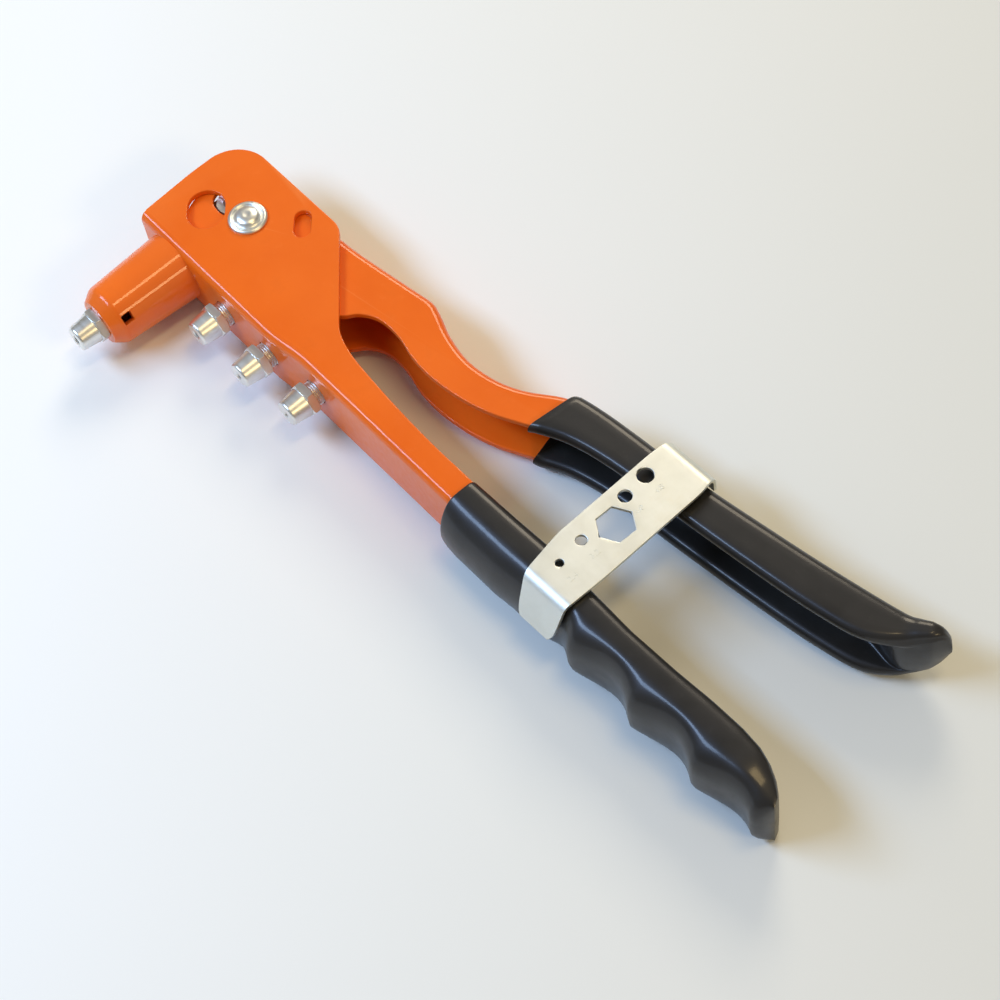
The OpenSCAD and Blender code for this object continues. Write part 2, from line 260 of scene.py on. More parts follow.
def turned(piece, spot, degrees, axis="Z"):
    """Turn a piece about a line along an axis through a spot."""
    centre = Matrix.Translation(spot)
    piece.data.transform(centre @ Matrix.Rotation(math.radians(degrees), 4, axis) @ centre.inverted())
    return piece


def outward(piece):
    """Merge doubled corners and turn all faces outwards."""
    edit(piece)
    bpy.ops.mesh.select_all(action="SELECT")
    bpy.ops.mesh.remove_doubles(threshold=0.002 * MM)
    bpy.ops.mesh.delete_loose()
    bpy.ops.mesh.select_all(action="SELECT")
    bpy.ops.mesh.normals_make_consistent(inside=False)
    return done(piece)


def smooth(piece, angle=40):
    """Smooth shading with flat faces kept flat."""
    pick(piece)
    bpy.ops.object.shade_smooth_by_angle(angle=math.radians(angle))
    return applied(piece, "WEIGHTED_NORMAL", keep_sharp=True, weight=60)


def flat_cheeks(piece):
    """Give the level faces one normal each, so that no shading runs across them."""
    mesh = edit(piece)
    choose(piece, mesh, mesh.faces, lambda face: abs(face.normal.z) > 0.9999)
    bpy.ops.mesh.set_normals_from_faces()
    return done(piece)


def softened(piece, width=EDGE_R, segments=3, angle=38):
    """Round over the hard edges of a pressed or turned piece."""
    return applied(piece, "BEVEL", width=width * MM, segments=segments, limit_method="ANGLE",
                   angle_limit=math.radians(angle), use_clamp_overlap=False)


def plate_face(name, points, height):
    """A flat outline at one height: a filled circle whose corners are moved onto it."""
    alone()
    bpy.ops.mesh.primitive_circle_add(vertices=len(points), radius=MM, fill_type="NGON")
    piece = named(bpy.context.object, name)
    for corner, (x, y) in zip(piece.data.vertices, points):
        corner.co = tool(x, y, height)
    return piece


def plate(name, points, low, high):
    """A flat outline drawn in X and Y, extruded from one height to another."""
    piece = plate_face(name, points, low)
    edit(piece)
    bpy.ops.mesh.select_all(action="SELECT")
    bpy.ops.mesh.extrude_region_move(TRANSFORM_OT_translate={"value": (0, 0, (high - low) * MM)})
    bpy.ops.mesh.select_all(action="SELECT")
    bpy.ops.mesh.normals_make_consistent(inside=False)
    return done(piece)


def rod(name, centre, r, length, axis="Z", sides=64):
    """A cylinder about a centre, along Z or along X."""
    alone()
    turn = (0, math.pi / 2, 0) if axis == "X" else (0, 0, 0)
    bpy.ops.mesh.primitive_cylinder_add(vertices=sides, radius=r * MM, depth=length * MM,
                                        location=tool(*centre), rotation=turn)
    piece = named(bpy.context.object, name)
    bpy.ops.object.transform_apply(location=True, rotation=True, scale=True)
    return piece


def spun(name, profile, centre=(0.0, 0.0, 0.0), axis=X_AXIS, steps=72):
    """A turned piece: a closed profile of (place along the axis, radius) pairs, spun about the axis."""
    alone()
    bpy.ops.mesh.primitive_circle_add(vertices=len(profile), radius=MM, fill_type="NOTHING")
    piece = named(bpy.context.object, name)
    for corner, (along, r) in zip(piece.data.vertices, profile):
        if axis == X_AXIS:
            corner.co = tool(centre[0] + along, centre[1], centre[2] + r)
        else:
            corner.co = tool(centre[0] + r, centre[1], centre[2] + along)
    edit(piece)
    bpy.ops.mesh.select_all(action="SELECT")
    bpy.ops.mesh.spin(steps=steps, angle=math.tau, center=tool(*centre), axis=axis)
    done(piece)
    return outward(piece)


def rounded(corners, steps=4):
    """A profile whose corners (along, radius, rounding) become small arcs."""
    points = []
    for i, (along, r, fillet) in enumerate(corners):
        here = Vector((along, r))
        if not fillet:
            points.append((along, r))
            continue
        before = (Vector(corners[i - 1][:2]) - here).normalized() * fillet
        after = (Vector(corners[(i + 1) % len(corners)][:2]) - here).normalized() * fillet
        for k in range(steps + 1):
            t = k / steps
            spot = here + before * (1 - t) ** 2 + after * t ** 2
            points.append((spot.x, spot.y))
    return points


def lofted(name, columns, rows, place):
    """A grid whose corners are moved to place(u, v), each from 0 to 1; seams and poles are merged."""
    alone()
    bpy.ops.mesh.primitive_grid_add(x_subdivisions=columns, y_subdivisions=rows, size=2)
    piece = named(bpy.context.object, name)
    for corner in piece.data.vertices:
        corner.co = tool(*place((corner.co.x + 1) / 2, (corner.co.y + 1) / 2))
    return outward(piece)


def capped(piece):
    """Close the open ends of a swept or lofted piece."""
    edit(piece)
    bpy.ops.mesh.select_all(action="SELECT")
    bpy.ops.mesh.fill_holes(sides=0)
    bpy.ops.mesh.normals_make_consistent(inside=False)
    return done(piece)


def helix(name, x0, x1, coil_r, wire_r, turns):
    """A coil spring along the barrel axis: a wire section swept by a screw."""
    alone()
    bpy.ops.mesh.primitive_circle_add(vertices=10, radius=wire_r * MM, fill_type="NOTHING",
                                      rotation=(math.pi / 2, 0, 0))
    piece = named(bpy.context.object, name)
    bpy.ops.object.transform_apply(location=True, rotation=True, scale=True)
    for corner in piece.data.vertices:
        corner.co.z += coil_r * MM
    pitch = (x1 - x0 - 2 * wire_r) / turns
    applied(piece, "SCREW", axis="X", angle=math.tau, screw_offset=pitch * MM, iterations=turns,
            steps=28, render_steps=28, use_smooth_shade=True)
    for corner in piece.data.vertices:
        corner.co += tool(x0 + wire_r, 0)
    return smooth(outward(capped(piece)), 60)


# ---------------------------------------------------------------- material maths
class Socket:
    """One output of a node. Sums with other sockets or numbers add Math nodes."""

    def __init__(self, finish, out):
        self.finish = finish
        self.out = out

    def maths(self, operation, *values):
        return self.finish.node("ShaderNodeMath", {"operation": operation}, dict(enumerate(values)))

    def __add__(self, other):
        return self.maths("ADD", self, other)

    def __radd__(self, other):
        return self.maths("ADD", other, self)

    def __sub__(self, other):
        return self.maths("SUBTRACT", self, other)

    def __rsub__(self, other):
        return self.maths("SUBTRACT", other, self)

    def __mul__(self, other):
        return self.maths("MULTIPLY", self, other)

    def __rmul__(self, other):
        return self.maths("MULTIPLY", other, self)


class Finish:
    """A procedural material: its nodes are added one by one, and its maths is written as sums."""

    def __init__(self, name, **constants):
        self.material = bpy.data.materials.new(name)
        self.material.use_nodes = True
        self.tree = self.material.node_tree
        self.shader = self.tree.nodes["Principled BSDF"]
        self.place = self.node("ShaderNodeTexCoord", {}, {}, "Object")
        for key, value in constants.items():
            self.shader.inputs[key.replace("_", " ")].default_value = value

    def node(self, kind, settings, sockets, output=0):
        """Add a node: its settings first, then the value or link of each socket."""
        node = self.tree.nodes.new(kind)
        for key, value in settings.items():
            if key == "stops":
                self.ramp_stops(node.color_ramp, value)
            else:
                setattr(node, key, value)
        for key, value in sockets.items():
            if isinstance(value, Socket):
                self.tree.links.new(value.out, node.inputs[key])
            else:
                node.inputs[key].default_value = value
        return Socket(self, node.outputs[output])

    @staticmethod
    def ramp_stops(ramp, stops):
        for i, (position, colour) in enumerate(stops):
            stop = ramp.elements[i] if i < 2 else ramp.elements.new(position)
            stop.position = position
            stop.color = (*colour, 1)

    def noise(self, scale, detail=2.0, roughness=0.5, place=None):
        """Cloudy noise from 0 to 1; scale is in repeats per metre."""
        return self.node("ShaderNodeTexNoise", {}, {
            "Vector": place or self.place, "Scale": scale, "Detail": detail, "Roughness": roughness}, "Fac")

    def stretched(self, factors):
        """Object coordinates scaled differently along each axis, for streaks and turning marks."""
        return self.node("ShaderNodeMapping", {}, {"Vector": self.place, "Scale": factors})

    def range(self, value, low, high, to_low=0.0, to_high=1.0):
        return self.node("ShaderNodeMapRange", {"clamp": True}, {
            "Value": value, "From Min": low, "From Max": high, "To Min": to_low, "To Max": to_high})

    def mix(self, mask, first, second):
        """First colour where the mask is 0, second where it is 1."""
        first, second = ((c if isinstance(c, Socket) else (*c, 1)) for c in (first, second))
        return self.node("ShaderNodeMix", {"data_type": "RGBA"}, {0: mask, 6: first, 7: second}, 2)

    def worn_edges(self, low=0.52, high=0.6):
        """1 on sharp outside edges and 0 elsewhere."""
        return self.range(self.node("ShaderNodeNewGeometry", {}, {}, "Pointiness"), low, high)

    def bump(self, height, strength, distance):
        return self.node("ShaderNodeBump", {}, {
            "Height": height, "Strength": strength, "Distance": distance * MM})

    def connect(self, **sockets):
        for key, value in sockets.items():
            self.tree.links.new(value.out, self.shader.inputs[key.replace("_", " ")])
        return self.material


def orange_paint():
    """Glossy orange enamel: orange-peel, slight clouding, thinner and lighter on the edges."""
    f = Finish("orange_enamel", Coat_Weight=0.55, Coat_Roughness=0.05, Specular_IOR_Level=0.12, IOR=1.48)
    cloud = f.noise(45, 3)
    fine = f.noise(420, 3, 0.6)
    colour = f.mix(f.range(cloud, 0.3, 0.7), (0.79, 0.128, 0.006), (0.85, 0.150, 0.009))
    colour = f.mix(f.range(fine, 0.62, 0.75) * 0.12, colour, (0.90, 0.21, 0.03))
    colour = f.mix(f.worn_edges() * 0.3, colour, (0.92, 0.28, 0.07))
    grime = f.range(f.noise(90, 4, 0.65), 0.56, 0.78)
    colour = f.mix(grime * 0.10, colour, (0.36, 0.05, 0.01))
    peel = f.noise(620, 1, 0.4) + f.noise(160, 2, 0.5) * 1.6
    return f.connect(Base_Color=colour, Roughness=f.range(fine, 0.3, 0.75, 0.32, 0.44),
                     Normal=f.bump(peel, 0.07, 0.16))


def black_vinyl():
    """Dipped black vinyl: satin, with a faint grain, scuffs and dust in patches."""
    # painted highlight colour: the bluish specular tint gives the vinyl's highlights the window's blue cast
    f = Finish("black_vinyl", Specular_IOR_Level=0.34, Specular_Tint=(0.80, 0.84, 1.0, 1.0), IOR=1.5,
               Coat_Weight=0.35, Coat_Roughness=0.15)
    cloud = f.noise(60, 3)
    grain = f.noise(1500, 2, 0.6)
    colour = f.mix(f.range(cloud, 0.3, 0.7), (0.014, 0.0132, 0.0118), (0.021, 0.0195, 0.0172))
    dust = f.range(f.noise(260, 5, 0.7), 0.6, 0.82)
    colour = f.mix(dust * 0.2, colour, (0.075, 0.068, 0.058))
    colour = f.mix(f.worn_edges(0.53, 0.62) * 0.2, colour, (0.12, 0.085, 0.065))
    rough = f.range(f.noise(180, 4, 0.6), 0.3, 0.75, 0.36, 0.48)
    relief = f.noise(95, 2, 0.5) * 2.2 + grain * 0.35
    return f.connect(Base_Color=colour, Roughness=rough, Normal=f.bump(relief, 0.16, 0.22))


def zinc_plate(name, tint_low, tint_high, streak, rough, stain, relief):
    """Bright zinc plating: fine streaks along one axis, soft clouding and a trace of yellow passivation."""
    f = Finish(name, Metallic=1.0)
    cloud = f.noise(70, 4, 0.6)
    streaks = f.noise(1, 3, 0.6, f.stretched(streak))
    colour = f.mix(f.range(cloud, 0.35, 0.68), tint_low, tint_high)
    colour = f.mix(f.range(f.noise(120, 5, 0.7), 0.58, 0.8) * 0.22, colour, stain)
    colour = f.mix(f.range(streaks, 0.55, 0.8) * 0.18, colour, (0.93, 0.93, 0.93))
    height = streaks + f.noise(900, 2, 0.5) * 0.5
    return f.connect(Base_Color=colour, Roughness=f.range(streaks + cloud * 0.5, 0.45, 1.0, *rough),
                     Normal=f.bump(height, relief, 0.10))


def steel(name, tint, rough, ring_axis=None):
    """Machined steel with turning marks across one axis and an oily film in patches."""
    f = Finish(name, Metallic=1.0)
    scale = [140.0, 140.0, 140.0]
    if ring_axis is not None:
        scale[ring_axis] = 2600.0
    marks = f.noise(1, 2, 0.5, f.stretched(scale))
    film = f.range(f.noise(150, 4, 0.65), 0.45, 0.75)
    colour = f.mix(film * 0.35, tint, tuple(0.55 * c for c in tint))
    return f.connect(Base_Color=colour, Roughness=f.range(marks, 0.3, 0.7, rough - 0.06, rough + 0.1),
                     Normal=f.bump(marks, 0.12, 0.08))


ORANGE = orange_paint()
VINYL = black_vinyl()
CLIP_ZINC = zinc_plate("zinc_strap", (0.74, 0.77, 0.74), (0.82, 0.85, 0.82), (300, 60, 60), (0.42, 0.54),
                       (0.66, 0.62, 0.48), 0.10)
NOSE_ZINC = zinc_plate("zinc_turned", (0.74, 0.74, 0.72), (0.88, 0.88, 0.86), (1400, 90, 90), (0.27, 0.38),
                       (0.60, 0.52, 0.38), 0.03)
RIVET_ZINC = zinc_plate("zinc_rivet", (0.78, 0.80, 0.78), (0.88, 0.90, 0.88), (160, 160, 160), (0.30, 0.40),
                        (0.62, 0.56, 0.42), 0.03)
BRIGHT = steel("bright_steel", (0.74, 0.74, 0.76), 0.36, 2)
DARK = steel("dark_steel", (0.30, 0.29, 0.28), 0.34, 0)
SPRING = steel("spring_wire", (0.46, 0.45, 0.44), 0.28)


def finished(piece, body, slot, material, *nodes):
    """Give a piece its material, its body and the CAD nodes that it stands for."""
    piece.data.materials.clear()
    piece.data.materials.append(material)
    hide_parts(*nodes)
    if body:
        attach(piece, body)
    return piece


# ---------------------------------------------------------------- folded channels
def channel(name, web, edge, half_height, folds=6):
    """Two cheeks joined by a web with a rounded fold along each side, all with the sheet's wall.
    web is the web's outer line; edge is the cheeks' free line, from the web's end round to its start."""
    inset = beside(web, FOLD_R)
    inset[0] = tuple(Vector(inset[0]).lerp(Vector(edge[-1]), 0.5))
    inset[-1] = tuple(Vector(inset[-1]).lerp(Vector(edge[0]), 0.5))
    high = 2 * folds + 1
    last = len(web) - 1

    def place(u, v):
        i = round(v * last)
        return fold_place(web[i], inset[i], round(u * high), half_height, folds)

    piece = lofted(name, high, last, place)
    for height in (-half_height, half_height):
        joined(piece, plate_face("cheek", inset + list(edge), height))
    outward(piece)
    return applied(piece, "SOLIDIFY", thickness=SHEET_T * MM, offset=-1, use_even_offset=True, use_rim=True)


def fold_place(outer, inner, row, half_height, folds):
    """Place on the folds and the web between them: rows run from the lower cheek round to the upper one."""
    lower = row <= folds
    turn = math.pi / 2 * ((folds - row if lower else row - folds - 1) / folds)
    share = 1 - math.cos(turn)
    z = half_height - FOLD_R + FOLD_R * math.sin(turn)
    spot = Vector(outer).lerp(Vector(inner), share)
    return spot.x, spot.y, -z if lower else z


def slot_cutter(a, b, r, low=-THROUGH / 2):
    """Cutter for a slot with round ends, from one height up through the tool."""
    turn = math.degrees(math.atan2(b[1] - a[1], b[0] - a[0]))
    rim = arc(b, r, turn - 90, turn + 90, 20) + arc(a, r, turn + 90, turn + 270, 20)
    return plate("cutter", rim, low, THROUGH / 2)


def body_frame():
    """Body channel with holes for the rack, the barrel and the rivet, the large hole and a slot."""
    piece = channel("body_channel", BODY_WEB[::-1], BODY_EDGE[::-1], BODY_H)
    for node in RACK_BORES:
        cut(piece, rod("cutter", (1, middle(node, 1), 0), THREAD_R + 0.1, 12, "X", 48))
    cut(piece, rod("cutter", (1, 0, 0), NECK_R, 12, "X"))
    cut(piece, rod("cutter", (*PIVOT, 0), RIVET_R + 0.05, THROUGH))
    # the large hole is in the upper cheek only
    cut(piece, slot_cutter((14.8, 0.6), (16.6, 2.6), 5.75, low=5))
    cut(piece, slot_cutter((31.5, -25.2), (34.6, -21.8), 2.6))
    flat_cheeks(smooth(softened(piece), 35))
    return finished(piece, "body", "orange_paint", ORANGE, "body_frame")


def lever_frame():
    """Lever channel: round at the head, open behind it, with slots in which the trunnions ride."""
    web = [spot for spot in LEVER_OUTER if spot[1] > LEVER_END][::-1]
    free = [spot for spot in LEVER_FREE if spot[1] > LEVER_END]
    head = arc(PIVOT, CROWN_R, 50, 124, 16) + arc(PIVOT, HEAD_R, 134, 205, 16)
    piece = channel("lever_channel", web, head + free, LEVER_H)
    opening = [(33, LEVER_WEB_Y), (33, 12), (44, 12), (44, LEVER_WEB_Y)]
    cut(piece, plate("cutter", opening, SHEET_T - LEVER_H, LEVER_H - SHEET_T))
    aim = (Vector((middle("trunnion_pins", 0), 0)) - PIVOT).normalized()
    near, far = TRUNNION_REACH
    cut(piece, slot_cutter(PIVOT + aim * near, PIVOT + aim * far, TRUNNION_R))
    cut(piece, rod("cutter", (*PIVOT, 0), SLEEVE_R, THROUGH))
    flat_cheeks(smooth(softened(piece), 35))
    return finished(piece, "lever", "orange_paint", ORANGE, "lever_frame")


def barrel():
    """Tapered barrel with a chamfered front, open at the back, and a square inspection window."""
    bore, step = 7.5, 8.6
    profile = rounded([
        (NOSE_X, THREAD_R, 0), (NOSE_X, 7.4, 0.35), (NOSE_X + 3.6, 9.85, 0.9), (0.4, 11.35, 0),
        (0.4, NECK_R, 0), (SHEET_T, NECK_R, 0), (SHEET_T, step, 0), (3.4, step, 0), (3.4, bore, 0),
        (-24.5, bore, 0), (-24.5, THREAD_R, 0)], 6)
    piece = spun("barrel_tube", profile, steps=96)
    alone()
    spot = tool(-23.5, 0, 9.5)
    bpy.ops.mesh.primitive_cube_add(size=3.4 * MM, location=spot)
    window = bpy.context.object
    bpy.ops.object.transform_apply(location=True, rotation=True, scale=True)
    applied(window, "BEVEL", width=0.35 * MM, segments=3)
    edit(window)
    bpy.ops.mesh.select_all(action="SELECT")
    bpy.ops.transform.resize(value=(1, 1, 2.6), center_override=spot)
    done(window)
    # the window faces the handles and a little upwards
    cut(piece, turned(window, tool(0, 0), 59, "X"))
    smooth(piece, 30)
    return finished(piece, "body", "orange_paint", ORANGE, "barrel")


def nosepiece(name, node, seat_x, y, hole_r):
    """Hexagon with chamfered corners, a cone in front of it and a threaded shank behind."""
    tip, shank = -CONE_REACH, 8.6
    profile = [(tip, hole_r + 0.35), (tip + 0.35, hole_r)]
    profile += [(shank, hole_r), (shank, 3.3), (5.6, 3.3), (4.9, 3.75)]
    for i in range(6):
        back = 4.6 - i * 0.72
        profile += [(back, THREAD_R - 0.42), (back - 0.30, THREAD_R), (back - 0.42, THREAD_R)]
    profile += [(0.12, 3.5), (-0.2, 3.5), (-0.2, 4.6), (-2.4, 4.6), (-2.75, 4.72)]
    cone = [(-2.75, 4.72, 0), (tip + 0.45, 4.05, 0.35), (tip, 3.55, 0.25), (tip, hole_r + 0.35, 0)]
    profile += rounded(cone)[1:-1]
    piece = spun(name, profile, (seat_x, y, 0), steps=64)
    collar = rod("hexagon", (seat_x - 1.3, y, 0), HEX_HALF * HEX_CORNER, 2.6, "X", 6)
    chamfer = spun("chamfer", [(-2.7, 0.0), (-2.7, 5.05), (-2.1, 5.9), (-0.5, 5.9), (0.1, 5.05), (0.1, 0.0)],
                   (seat_x, y, 0), steps=64)
    cut(collar, chamfer, "INTERSECT")
    applied(collar, "BEVEL", width=0.12 * MM, segments=2, limit_method="ANGLE", angle_limit=math.radians(40))
    cut(piece, collar, "UNION")
    smooth(piece, 32)
    return finished(piece, "body", "zinc", NOSE_ZINC, node)


def pivot_rivet():
    """Shouldered rivet: a ringed, domed head on top and a flat peened head below."""
    top = BODY_H
    low = span("pivot_rivet", 2)[0]
    profile = rounded([
        (low, 0.0, 0), (low, 4.2, 0.5), (-top - 0.3, 5.1, 0.35), (-top, 4.9, 0), (-top, RIVET_R, 0),
        (top, RIVET_R, 0), (top, 5.9, 0), (top + 0.15, 6.1, 0.1), (top + 0.75, 6.05, 0.3),
        (top + 1.2, 5.45, 0.3), (top + 1.15, 4.85, 0.25), (top + 0.62, 4.35, 0.25), (top + 0.85, 3.85, 0.2),
        (top + 1.7, 3.5, 0.5), (top + 2.25, 2.3, 0.6), (top + 2.35, 1.2, 0.3), (top + 2.2, 0.0, 0)])
    piece = spun("rivet", profile, (*PIVOT, 0), Z_AXIS)
    smooth(piece, 50)
    return finished(piece, "body", "bright_steel", RIVET_ZINC, "pivot_rivet")


# ---------------------------------------------------------------- grips
FIRST_RIDGE_Y = -181.5
RIDGE_PITCH = 24.2
RIDGE_DEPTH = 3.6
RIDGE_X = -3.7
COAT_TURN_Y = -246
COAT_TIP = [(0.89, 1), (0.93, 0.96), (0.96, 0.86), (0.98, 0.70), (0.992, 0.50), (1, 0.28)]
BACK = [(TAIL_Y, 3.6), (-253.8, 5.2), (-252, 7.4), (-249, 9.6), (-245, 11.5), (-240, 12.9), (-233, 13.5),
        (-222, 13.3), (-209, 12.4), (-192, 11.8), (-176, 12.4), (-158, 13.4), (-144, 12.7), (GRIP_Y, 12.2)]
FRONT = [(-170, -2.9), (-157, -3.2), (-150, -3.9), (-134, -4.0), (-129, -3.6), (GRIP_Y, -2.6)]
TAIL_FRONT = [(TAIL_Y, 3.2), (-253.6, 1.2), (-252, -0.9), (-249, -2.6), (-245, -3.6), (-240, -4.4)]
TAIL_SHARE = [(TAIL_Y, 0.80), (-253.5, 0.86), (-252, 0.90), (-249, 0.95), (-243, 0.985), (-234, 1.0)]


def finger_wave(y):
    """Depth of the finger hollows from 0 to 1: each falls away slowly and rises steeply to the next ridge."""
    turn = ((FIRST_RIDGE_Y - y) / RIDGE_PITCH) % 1.0
    return math.sin(math.pi * turn ** 1.3)


def finger_side(y):
    """Widest place of the body grip on the finger side."""
    ridged = RIDGE_X + RIDGE_DEPTH * finger_wave(y)
    share = eased((-168 - y) / 9)
    return max(between(y, FRONT) * (1 - share) + ridged * share, between(y, TAIL_FRONT))


def body_grip():
    """A vinyl sleeve lofted along the channel: boxy at the back, rounded and ridged where the fingers go."""
    sides, front, stations = 72, 7, 96
    mouth_y, lip_y = GRIP_Y - 0.8, GRIP_Y - 1.6

    def section(y, turn, inside=False):
        """Point on the cross-section; turn runs once round, starting at the middle of the back."""
        boxy = eased((-177 - y) / 8)
        if inside:
            left, right, half, crest = web_x(y) - 0.2, 11.1, BODY_H + 0.1, 5.5
            power = (8, 8)
        else:
            left, right, crest = finger_side(y), between(y, BACK), 5.2
            half = BODY_GRIP_H * between(y, TAIL_SHARE)
            power = (5.0, 2.05 + 1.1 * boxy)
        angle = math.tau * turn
        c, s = math.cos(angle), math.sin(angle)
        n = power[0] if c > 0 else power[1]
        reach = right - crest if c > 0 else crest - left
        x = crest + math.copysign(abs(c) ** (2 / n) * reach, c)
        z = math.copysign(abs(s) ** (2 / n), s) * half
        if not inside:
            # the finger side is thinner than the back, and the tip droops
            z *= 1 - (0.06 + 0.12 * boxy) * eased((crest - x) / 9)
            z = max(z - 1.4 * eased((-240 - y) / 14), -BODY_GRIP_H)
        return x, y, z

    def place(u, v):
        row = round(u * (front + stations))
        if row == 0:
            return section(GRIP_Y - 16, v, inside=True)
        if row < front:
            # the rounded lip, from the inside of the mouth out to the sleeve
            t = (row - 1) / (front - 1)
            a = section(mouth_y, v, inside=True)
            b = section(lip_y, v)
            x, z = (a[k] + (b[k] - a[k]) * math.sin(math.pi / 2 * t) for k in (0, 2))
            return x, mouth_y + 0.75 * math.sin(math.pi * t * 0.9) - 0.8 * t * t, z
        x, y, z = section(lip_y + (TAIL_Y + 0.05 - lip_y) * (row - front) / stations, v)
        return (3.4 if row == front + stations else x), y, z

    piece = capped(lofted("body_sleeve", front + stations, sides, place))
    pick(piece)
    bpy.ops.object.shade_smooth()
    return finished(piece, "body", "black_vinyl", VINYL, "body_grip")


def along(points, share):
    """Point at a share of a line's length."""
    steps = [(Vector(b) - Vector(a)).length for a, b in zip(points, points[1:])]
    reach = share * sum(steps)
    for a, b, step in zip(points, points[1:], steps):
        if reach <= step:
            return Vector(a).lerp(Vector(b), reach / step)
        reach -= step
    return Vector(points[-1])


def coat_section(opening, width, half):
    """Closed C-section of the dipped coat as (depth, z) pairs: depth runs from the web's outside to the lips.
    opening is 1 where the groove between the lips has its full depth, and 0 where it is filled."""
    fold = min(3.6, 0.45 * width)
    lip = min(2.35, 0.3 * width, 0.4 * half)
    inner = half - 2 * lip
    bottom = min(SHEET_T + 2 * DIP_T + 0.1, width - lip)
    fillet = min(1.8, 0.5 * inner, 0.5 * (width - lip - bottom))
    quarter = [math.pi / 2 * k / 5 for k in range(6)]
    outside = [(0.0, (half - fold) * k / 3) for k in range(3)]
    outside += [(fold * (1 - math.cos(a)), half - fold + fold * math.sin(a)) for a in quarter]
    outside += [(fold + (width - lip - fold) * k / 4, half) for k in range(1, 4)]
    outside += [(width - lip + lip * math.sin(a), half - lip + lip * math.cos(a)) for a in quarter]
    groove = [(width - lip + lip * math.cos(a), half - lip - lip * math.sin(a)) for a in quarter[1:]]
    groove += [(width - lip - (width - lip - bottom - fillet) * k / 4, inner) for k in range(1, 4)]
    groove += [(bottom + fillet * (1 - math.sin(a)), inner - fillet * (1 - math.cos(a))) for a in quarter]
    groove += [(bottom, (inner - fillet) * (1 - k / 3)) for k in range(1, 3)]
    filled = [width + 1.3 * (1 - (z / half) ** 2) for _, z in groove]
    upper = outside + [(full + (depth - full) * opening, z) for (depth, z), full in zip(groove, filled)]
    return upper + [(depth, -z) for depth, z in upper[:0:-1]]


def lever_grip():
    """The dipped coat over the lever's channel: rounded lips, the groove between them and a closed tip."""
    outer = beside([spot for spot in LEVER_OUTER if spot[1] < GRIP_Y + 2.5], DIP_T)
    outer = [(x + 1.1 * eased((-150 - y) / 50), y) for x, y in outer if y > COAT_TURN_Y]
    outer += [(71.2, -247.6), (72.4, -250.2)]
    free = beside([spot for spot in LEVER_FREE if spot[1] < GRIP_Y + 4], -DIP_T)
    free = [(x, y) for x, y in free if y > COAT_TURN_Y] + [(66.6, -249.2), (71.4, -251.6)]
    rows = 96
    around = len(coat_section(1, 10, 10))

    def place(u, v):
        row = round(u * rows)
        share = min(max((row - 1) / (rows - 2), 0), 1)
        share = 1 - (1 - share) ** 1.15
        a, b = along(outer, share), along(free, share)
        width = (b - a).length
        swell = 1 - (1 - min(share / 0.012, 1)) ** 2 * 0.05
        half = LEVER_GRIP_H * swell * between(share, COAT_TIP)
        lift = LEVER_GRIP_H * 0.36 * eased((share - 0.89) / 0.11)
        depth, z = coat_section(1 - eased((share - 0.82) / 0.12), width, half)[round(v * around) % around]
        spot = a + (b - a) * (depth / width)
        if row in (0, rows):
            spot, z = (a + b) / 2, 0.0
        return spot.x, spot.y, z + lift

    piece = lofted("lever_coat", rows, around, place)
    pick(piece)
    bpy.ops.object.shade_smooth_by_angle(angle=math.radians(60))
    return finished(piece, "lever", "black_vinyl", VINYL, "lever_grip")


# ---------------------------------------------------------------- clip
CLIP_MID = Vector((28, -166.6))
CLIP_TILT = 1.5
STRAP_T = 1.2
STRAP_TOP = span("clip_key", 2)[1]
STRAP_BENDS = (3.9, 55.1)
BEND_R = 4.0
HOOK_LEAN = 26
GAUGES = [(10, 2.4, 1.25, "2.4"), (19, 3.3, 1.65, "3.2"), (37, 4.7, 2.05, "4.0"), (45.5, 5.5, 2.45, "4.8")]


STRAP_LOW = [(-5.4, -4.6), (-4.9, -6.6), (-4.4, -7.5), (-3.6, -8.2), (-2.6, -8.5), (4, -9.2), (16, -9.6),
             (52, -9.6), (62, -8.0)]
STRAP_HIGH = [(-5.2, 3.2), (-4.6, 4.5), (-4.0, 5.2), (-3.0, 5.8), (2, 7.4), (16, 9.6), (52, 9.6), (62, 8.4)]


def stamped(text, x, y):
    """A size in raised figures on the strap's face."""
    alone()
    bpy.ops.object.text_add(location=tool(x, y, STRAP_TOP))
    mark = bpy.context.object
    mark.data.body = text
    mark.data.size = 2.6 * MM
    mark.data.extrude = 0.09 * MM
    mark.data.resolution_u = 3
    bpy.ops.object.convert(target="MESH")
    bpy.ops.object.transform_apply(location=True, rotation=True, scale=True)
    return outward(mark)


def strap_line():
    """Side view of the strap's outer face as (x, z) points: hook, top and lip."""
    z = STRAP_TOP - BEND_R
    first, last = STRAP_BENDS
    hook = arc((first, z), BEND_R, 180 - HOOK_LEAN, 90, 10)
    foot_x, foot_z = hook[0]
    slope = math.tan(math.radians(HOOK_LEAN))
    drops = [(foot_z - 2.5) * k / 8 for k in range(8, 0, -1)]
    down = [(foot_x - slope * drop, foot_z - drop) for drop in drops]
    flat = [(first + (last - first) * k / 24, STRAP_TOP) for k in range(1, 24)]
    lip = arc((last, z), BEND_R, 90, 0, 10)
    return down + hook + flat + lip + [(last + BEND_R, z - (z - 7.5) * k / 3) for k in range(1, 4)]


